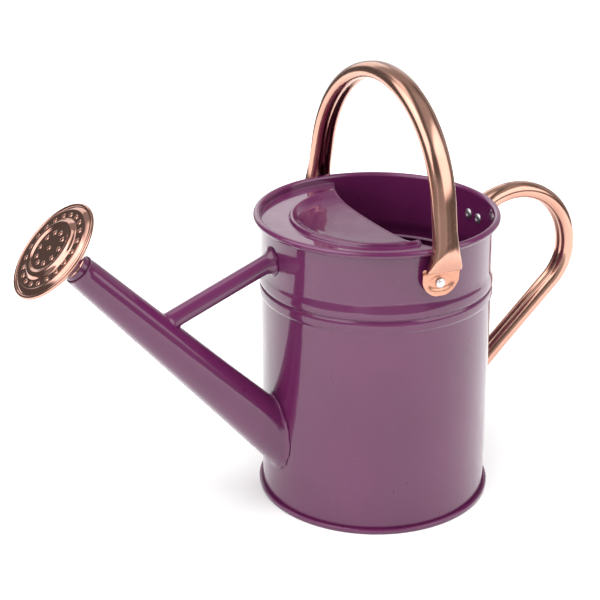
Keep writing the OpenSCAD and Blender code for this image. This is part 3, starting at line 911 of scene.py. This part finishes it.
def resample(path, step):
    path = np.asarray(path, float)
    s = np.concatenate([[0], np.cumsum(np.linalg.norm(np.diff(path, axis=0), axis=1))])
    n = max(2, int(round(s[-1] / step)))
    t = np.linspace(0, s[-1], n + 1)
    return np.stack([np.interp(t, s, path[:, k]) for k in range(path.shape[1])], 1)


def bail():
    # centre line in (y, z), near half from the leg's end to the top
    half = [(-(91.2 - 0.0), 196.9), (-91.0, 199.5)]
    leg_top = (ARCH_R * cos(SPLAY), ARCH_Z + ARCH_R * sin(SPLAY))
    ly = lambda z: leg_top[0] + (leg_top[1] - z) * math.tan(SPLAY)
    pts = [(-ly(196.9) - 0.15, 196.9), (-ly(201), 201), (-ly(206), 206), (-ly(212), 212), (-ly(220), 220), (-ly(230), 230)]
    for a in np.linspace(math.degrees(SPLAY), 90, 34):
        pts.append((-ARCH_R * cos(radians(a)), ARCH_Z + ARCH_R * sin(radians(a))))
    fine = smooth_line(pts, 10)
    full = np.vstack([fine, fine[-2::-1] * [-1, 1]])
    yz = resample(full, 1.25)
    n = len(yz)
    path = np.stack([np.zeros(n), yz[:, 0], yz[:, 1]], 1)
    tan = np.gradient(path, axis=0)
    tan /= np.linalg.norm(tan, axis=1)[:, None]
    across = np.tile(np.array([1.0, 0, 0]), (n, 1))
    outward = np.cross(tan, across)
    outward *= np.where((outward[:, 1] * path[:, 1] + outward[:, 2] * (path[:, 2] - 200)) < 0, -1, 1)[:, None]
    z = path[:, 2]
    ease = lambda xs, ys: np.interp(z, *smooth_line(list(zip(xs, ys)), 8).T)
    w = ease([196.9, 198.4, 200.6, 203.5, 207, 211, 216, 221], [26.2, 25.9, 24.4, 22.4, 20.4, 18.9, 17.9, 17.5])
    d = ease([196.9, 198.4, 200.8, 204, 208, 212, 217], [6.0, 7.6, 9.2, 10.6, 11.6, 12.0, 12.0])
    p = np.interp(z, [196.9, 202, 209, 222, 400], [3.6, 3.2, 2.7, 2.3, 2.2])
    gap = np.interp(z, [196.9, 201, 206, 214, 224, 232, 400], [1.15, 0.95, 0.62, 0.3, 0.12, 0.045, 0.045])
    curl = np.interp(z, [196.9, 204, 216, 232, 400], [0.0, 0.15, 0.7, 1.0, 1.0])
    # keep the outer face where the cup has it as the section gets shallower
    shift = ease([196.9, 198.4, 200.8, 204, 208, 213, 218], [-3.4, -2.8, -1.9, -1.0, -0.35, 0.0, 0.0])
    path = path + outward * shift[:, None]
    tube("bail_tube_rolled", path, across, outward, w, d, p, gap, COPPER, "bail", "copper_finish", ("bail_handle",), m=72, curl=curl, place=lean)
    # pressed ends: floor of the leg turned down into the pivot tab
    for s in (-1, 1):
        b = Builder()
        line = [(90.8, 198.6), (90.6, 197.8), (90.2, 197.2), (89.4, 196.95), (88.6, 196.9), (87.6, 196.9), (86.8, 196.9), (85.8, 196.75), (85.05, 196.1), (84.86, 194.9),
                (84.85, 193), (84.85, 190), (84.85, 187), (84.85, 184), (84.85, 181), (84.85, 178.6), (84.85, 178.0)]
        ln = smooth_line(line, 5)
        nx = 61
        rows = []
        for (yy, zz) in ln:
            if zz > 191.9:
                hw = 13.95 if yy < 85.4 else 13.95 - 1.25 * min(1.0, (yy - 85.4) / 1.4)
                if yy > 88.6:
                    hw = 12.7 - (yy - 88.6) * 1.1
            else:
                hw = min(13.95, sqrt(max(14.4 ** 2 - (zz - 192) ** 2, 0.5)))
            row = []
            for k in range(nx):
                x = hw * (2 * k / (nx - 1) - 1)
                y = yy
                if zz < 196.2 and yy < 85.5:
                    # rim stands proud round an oval recess that holds the rivet
                    e1 = (x / 9.6) ** 2 + ((zz - PIVOT_Z - 0.4) / 5.2) ** 2
                    lift = 1.0 / (1 + math.exp(-(sqrt(e1) - 1.0) * 12))
                    top = min(1.0, max(0.0, (196.2 - zz) / 2.0))
                    y = yy + lift * top
                row.append((x, s * y, zz))
            rows.append(row)
        g = lean(np.array(rows))
        b.grid(g, flip=(s > 0))
        b.make("bail_pressed_end_" + ("front" if s < 0 else "rear"), COPPER_TAB, "bail", "copper_finish", sharp=0, thick=1.1, offset=-1.0)


def back_handle():
    c1, R1 = np.array([115.0, 158.0]), 49.5
    c2, R2 = np.array([127.5, 158.0]), 37.0
    pts = []
    p118 = c1 + R1 * np.array([cos(radians(118)), sin(radians(118))])
    t118 = np.array([-sin(radians(118)), cos(radians(118))])
    k = (p118[0] - 83.9) / -t118[0]
    for f in (1.0, 0.66, 0.33):
        pts.append(p118 + t118 * k * f)
    for a in np.linspace(118, 0, 50):
        pts.append(c1 + R1 * np.array([cos(radians(a)), sin(radians(a))]))
    for a in np.linspace(-3, -47.2, 20):
        pts.append(c2 + R2 * np.array([cos(radians(a)), sin(radians(a))]))
    e = pts[-1]
    dn = np.array([-sin(radians(47.2)), -cos(radians(47.2))])
    L = (e[0] - 84.1) / -dn[0]
    for f in np.linspace(0.08, 1, 14):
        pts.append(e + dn * L * f)
    xz = resample(np.array(pts), 1.2)
    n = len(xz)
    path = np.stack([xz[:, 0], np.zeros(n), xz[:, 1]], 1)
    tan = np.gradient(path, axis=0)
    tan /= np.linalg.norm(tan, axis=1)[:, None]
    across = np.tile(np.array([0, 1.0, 0]), (n, 1))
    outward = np.cross(across, tan)
    mid = np.array([115.0, 0, 150.0])
    outward *= np.where((outward * (path - mid)).sum(1) < 0, -1, 1)[:, None]
    s = np.concatenate([[0], np.cumsum(np.linalg.norm(np.diff(path, axis=0), axis=1))])
    end = np.minimum(s, s[-1] - s)
    w = np.interp(end, [0, 4, 9, 16, 30], [20.5, 18.5, 16.8, 16.0, 15.6])
    d = np.interp(end, [0, 6, 14, 30], [11.0, 11.6, 12.0, 12.0])
    p = np.interp(end, [0, 10, 30], [2.8, 2.4, 2.2])
    gap = np.interp(end, [0, 8, 20, 34], [0.55, 0.35, 0.12, 0.045])
    curl = np.interp(end, [0, 10, 34], [0.2, 0.6, 1.0])
    tube("back_handle_tube_rolled", path, across, outward, w, d, p, gap, COPPER, "can", "copper_finish", ("back_handle",), m=72, curl=curl)
    # curved fixing tabs with rounded corners and a blended throat round the tube
    for nm, z0, z1, zc, sl in (("upper", 187.0, 202.0, 196.4, 0.53), ("lower", 59.0, 73.0, 66.0, 1.0)):
        b = Builder()
        nu, nv = 53, 31
        g = np.zeros((nu, nv, 3))
        hw, hh, rc = 13.0, (z1 - z0) / 2, 4.5
        zm = (z0 + z1) / 2
        for i in range(nu):
            for j in range(nv):
                u, v = 2 * i / (nu - 1) - 1, 2 * j / (nv - 1) - 1
                y, zz = hw * u, hh * v
                # rounded rectangle by pulling in the corners
                ay, az = abs(y) - (hw - rc), abs(zz) - (hh - rc)
                if ay > 0 and az > 0:
                    h = math.hypot(ay, az)
                    m_ = max(ay, az)
                    f = m_ / h if h > 0 else 1
                    y = math.copysign(hw - rc + ay * f, y)
                    zz = math.copysign(hh - rc + az * f, zz)
                z = zm + zz
                lift = 0.0
                for sgn in (-1, 1):
                    rz = UP_RIVET if nm == "upper" else LOW_RIVET
                    q = math.hypot(y - sgn * RIVET_Y, z - rz)
                    lift -= 0.12 * math.exp(-(q / 2.6) ** 4)
                q = math.hypot(y / 8.6, (z - zc) / (6.8 / (1.0 if nm == "upper" else 0.8)))
                lift += 1.6 * math.exp(-max(0, q - 0.75) * 7)
                edge = min(hw - abs(y), hh - abs(zz))
                lift -= 0.25 * math.exp(-edge / 0.6)
                r = BODY_R + 1.0 + lift
                a = y / BODY_R
                g[i, j] = (r * cos(a), r * sin(a), z)
        b.grid(g, flip=False)
        b.make("back_handle_tab_" + nm, COPPER_TAB, "can", "copper_finish", sharp=0, thick=0.95, offset=-1.0)


# ---------------------------------------------------------------- fixings
def dome_rivet(b, origin, axis, r, h, hollow=False, under=0.0):
    """Dished head; axis points out of the head"""
    ax = unit(np.asarray(axis, float))
    ex = unit(np.cross(ax, (0.1, 0.3, 0.9)))
    ey = np.cross(ax, ex)
    prof = [(r * 0.55, -under), (r * 0.96, -under), (r, 0.12 * h), (r * 0.97, 0.34 * h), (r * 0.86, 0.62 * h), (r * 0.68, 0.84 * h), (r * 0.45, 0.96 * h)]
    if hollow:
        prof += [(r * 0.36, 0.93 * h), (r * 0.31, 0.78 * h), (r * 0.28, 0.3 * h), (r * 0.27, -1.6), (r * 0.02, -1.7)]
    else:
        prof += [(r * 0.22, 1.0 * h), (r * 0.02, 1.0 * h)]
    n = 48
    o = b.grid(rev(prof, n, origin, ex, ey, ax), wrap_u=True, flip=False)
    k = len(prof)
    b.f.append(tuple(o + i * k + k - 1 for i in range(n)))
    b.f.append(tuple(o + i * k for i in range(n))[::-1])


def shank(b, origin, axis, r, l0, l1):
    ax = unit(np.asarray(axis, float))
    ex = unit(np.cross(ax, (0.1, 0.3, 0.9)))
    ey = np.cross(ax, ex)
    n = 32
    o = b.grid(rev([(r, l0), (r, l1)], n, origin, ex, ey, ax), wrap_u=True)
    b.f.append(tuple(o + i * 2 for i in range(n))[::-1])
    b.f.append(tuple(o + i * 2 + 1 for i in range(n)))


def washer(b, origin, axis, ri, ro, t, soft=0.2):
    ax = unit(np.asarray(axis, float))
    ex = unit(np.cross(ax, (0.1, 0.3, 0.9)))
    ey = np.cross(ax, ex)
    prof = [(ri, soft), (ri + soft, 0), (ro - soft, 0), (ro, soft), (ro, t - soft), (ro - soft, t), (ri + soft, t), (ri, t - soft)]
    b.grid(rev(prof, 56, origin, ex, ey, ax), wrap_u=True, wrap_v=True)


def fixings():
    b = Builder()
    for s in (-1, 1):
        dome_rivet(b, (0, s * (TAB_IN + TAB_T + 0.08), PIVOT_Z), (0, s, 0), 3.6, 2.2)
        shank(b, (0, s * (TAB_IN + TAB_T), PIVOT_Z), (0, s, 0), 2.5, -5.6, 0.3)
        dome_rivet(b, (0, s * (BODY_IN - 0.68), PIVOT_Z), (0, -s, 0), 4.0, 1.2)
    b.make("bail_pivot_rivet_set", ALU, "can", "rivet_metal", sharp=50, replaces=("bail_pivot_rivets",))
    w = Builder()
    for s in (-1, 1):
        washer(w, (0, s * (BODY_R + 0.05), PIVOT_Z), (0, s, 0), 2.5, 6.0, 1.0)
    w.make("bail_spacer_washer_pair", ZINC, "can", "plain_steel", sharp=50, replaces=("bail_spacer_washers",))
    w = Builder()
    for s in (-1, 1):
        washer(w, (0, s * (BODY_IN - 0.25), PIVOT_Z), (0, -s, 0), 2.5, 5.5, 0.9)
    w.make("bail_backing_washer_pair", ZINC, "can", "plain_steel", sharp=50, replaces=("bail_backing_washers",))
    for nm, z, x in (("upper", UP_RIVET, BODY_IN - 0.55), ("lower", LOW_RIVET, BODY_IN - 1.66)):
        b = Builder()
        for s in (-1, 1):
            dome_rivet(b, (x - (0.2 if nm == "upper" else 0), s * RIVET_Y, z), (-1, 0, 0), 3.9, 1.5, hollow=True)
            shank(b, (x, s * RIVET_Y, z), (1, 0, 0), 2.0, 0.0, BODY_R + 1.0 - x + 0.6)
            dome_rivet(b, (BODY_R + 0.95, s * RIVET_Y, z), (1, 0, 0), 2.6, 1.1, hollow=False)
        b.make("back_handle_rivets_" + nm, ALU, "can", "rivet_metal", sharp=50, replaces=("back_handle_%s_rivets" % nm,))
    w = Builder()
    for s in (-1, 1):
        washer(w, (BODY_IN - 0.65, s * RIVET_Y, LOW_RIVET), (-1, 0, 0), 2.0, 3.8, 1.0, soft=0.3)
    w.make("back_handle_seal_washer_pair", RUBBER, "can", "black_rubber", sharp=50, replaces=("back_handle_seal_washers",))


body()
lock_seam()
base()
lid()
spout()
neck()
brace()
rose_face()
rose_back()
gasket()
bail()
back_handle()
fixings()
# the wire in the rolled rim keeps its CAD shape
wire = frame["nodes"]["rim_wire"]
wire.data.materials.clear()
wire.data.materials.append(ZINC)
for poly in wire.data.polygons:
    poly.use_smooth = True

# ---------------------------------------------------------------- stage
FLOOR, nt, bs = nodes_of("floor_paper_glowing")
co = add(nt, "ShaderNodeTexCoord").outputs["Object"]
nt.links.new(mix(nt, noise_tex(nt, co, 3, 3, 0.5), (0.80, 0.80, 0.80), (0.83, 0.83, 0.83)), bs.inputs["Base Color"])
bs.inputs["Roughness"].default_value = 0.85
bs.inputs["Specular IOR Level"].default_value = 0.15
# painted light: the floor glows white, with no emission within 0.22 m of the origin rising to 0.5 beyond 0.75 m, so it
# reads white away from the can and only the near contact shadow stays grey
bs.inputs["Emission Color"].default_value = (1, 1, 1, 1)
far = add(nt, "ShaderNodeVectorMath", operation="LENGTH")
nt.links.new(co, far.inputs[0])
nt.links.new(rng(nt, far.outputs["Value"], 0.0, 0.5, 0.22, 0.75), bs.inputs["Emission Strength"])
fl = bpy.data.meshes.new("floor")
S = 0.95
fl.from_pydata([(-S, -S, 0), (S, -S, 0), (S, S, 0), (-S, S, 0)], [], [(0, 1, 2, 3)])
floor = bpy.data.objects.new("floor", fl)
bpy.context.scene.collection.objects.link(floor)
fl.materials.append(FLOOR)

world = bpy.data.worlds.new("studio")
bpy.context.scene.world = world
world.use_nodes = True
wt = world.node_tree
bg = wt.nodes["Background"]
ray = wt.nodes.new("ShaderNodeLightPath")
vec = wt.nodes.new("ShaderNodeTexCoord").outputs["Generated"]
sep = wt.nodes.new("ShaderNodeSeparateXYZ")
wt.links.new(vec, sep.inputs[0])
dx, dy, dz = sep.outputs


def step(val, a, b):
    """0 at a, 1 at b, smooth between"""
    n = wt.nodes.new("ShaderNodeMapRange")
    n.interpolation_type = "SMOOTHSTEP"
    n.inputs["From Min"].default_value, n.inputs["From Max"].default_value = min(a, b), max(a, b)
    n.inputs["To Min"].default_value, n.inputs["To Max"].default_value = (0.0, 1.0) if a < b else (1.0, 0.0)
    wt.links.new(val, n.inputs["Value"])
    return n.outputs["Result"]


def along_dir(d):
    n = wt.nodes.new("ShaderNodeVectorMath")
    n.operation = "DOT_PRODUCT"
    wt.links.new(vec, n.inputs[0])
    n.inputs[1].default_value = tuple(d)
    return n.outputs["Value"]


def product(*vals):
    out = vals[0]
    for v in vals[1:]:
        out = maths(wt, "MULTIPLY", out, v)
    return out


def softbox(az, el, half_w, half_h, soft, level):
    """Soft-edged panel seen in reflections, centred on an azimuth and elevation in degrees"""
    a, e = radians(az), radians(el)
    c = np.array([cos(a) * cos(e), sin(a) * cos(e), sin(e)])
    r = np.array([-sin(a), cos(a), 0])
    u = np.cross(r, -c)
    fwd = along_dir(c)
    near = maths(wt, "MAXIMUM", fwd, 0.02)
    across = maths(wt, "ABSOLUTE", maths(wt, "DIVIDE", along_dir(r), near))
    height = maths(wt, "ABSOLUTE", maths(wt, "DIVIDE", along_dir(u), near))
    w, h = math.tan(radians(half_w)), math.tan(radians(half_h))
    return product(step(across, w + soft, w - soft), step(height, h + soft, h - soft), step(fwd, 0.05, 0.15), level)


panels = [softbox(178, 43, 34, 21, 0.09, 2.4), softbox(140, 70, 24, 12, 0.10, 1.6), softbox(-50, 31, 25, 24, 0.09, 2.2), softbox(-25, 62, 30, 16, 0.15, 0.40),
          softbox(80, 20, 18.0, 12, 0.02, 0.95), softbox(73, 26, 29, 34, 0.12, 0.30), softbox(25, 12, 32, 18, 0.15, 0.35),
          softbox(-105, 6, 35, 16, 0.12, 0.35), softbox(-155, 8, 30, 20, 0.15, 0.25)]
glow = 0.15
for panel in panels:
    glow = maths(wt, "ADD", panel, glow)
# even dome for the soft light, pale backdrop behind everything, panels in reflections
dome = step(dz, -0.02, 0.02)
even = maths(wt, "ADD", maths(wt, "MULTIPLY", dome, 0.45), 0.45)
light = wt.nodes.new("ShaderNodeMix")
wt.links.new(ray.outputs["Is Glossy Ray"], light.inputs[0])
wt.links.new(even, light.inputs[2])
wt.links.new(glow, light.inputs[3])
behind = wt.nodes.new("ShaderNodeMix")
wt.links.new(ray.outputs["Is Camera Ray"], behind.inputs[0])
wt.links.new(light.outputs[0], behind.inputs[2])
behind.inputs[3].default_value = 1.05
wt.links.new(behind.outputs[0], bg.inputs["Strength"])
bg.inputs["Color"].default_value = (1, 1, 1, 1)


def area(name, at, look, size, power, size_y=None):
    d = bpy.data.lights.new(name, "AREA")
    d.shape = "RECTANGLE"
    d.size, d.size_y = size, size_y or size
    d.energy = power
    o = bpy.data.objects.new(name, d)
    bpy.context.scene.collection.objects.link(o)
    o.location = at
    o.rotation_mode = "QUATERNION"
    o.rotation_quaternion = (Vector(look) - Vector(at)).to_track_quat("-Z", "Y")
    o.visible_glossy = False
    return o


area("softbox_top", (-0.25, -0.35, 2.2), (0, 0, 0.1), 1.7, 50)
area("softbox_left", (-1.9, -0.5, 0.9), (0, 0, 0.12), 1.1, 16)
area("softbox_right", (1.7, -0.9, 1.0), (0, 0, 0.12), 0.9, 12)

# ---------------------------------------------------------------- camera
az, elv, roll, dist, fpx = radians(-27.0), radians(22.87), radians(-0.268), 1071.7, 1498.4
back = np.array([sin(az) * cos(elv), -cos(az) * cos(elv), sin(elv)])
right = np.array([cos(az), sin(az), 0])
up = np.cross(back, right)
r2 = cos(roll) * right + sin(roll) * up
u2 = -sin(roll) * right + cos(roll) * up
target = np.array([-53.74 * cos(az), -53.74 * sin(az), 143.09])
pos = (target + back * dist) * MM
cam = bpy.data.cameras.new("camera")
cam.sensor_width, cam.lens = 36.0, fpx / 600 * 36.0
cam.clip_start, cam.clip_end = 0.01, 100
co_ = bpy.data.objects.new("camera", cam)
bpy.context.scene.collection.objects.link(co_)
co_.matrix_world = Matrix(((r2[0], u2[0], back[0], pos[0]), (r2[1], u2[1], back[1], pos[1]), (r2[2], u2[2], back[2], pos[2]), (0, 0, 0, 1)))
bpy.context.scene.camera = co_
bpy.context.scene.view_settings.view_transform = "Standard"
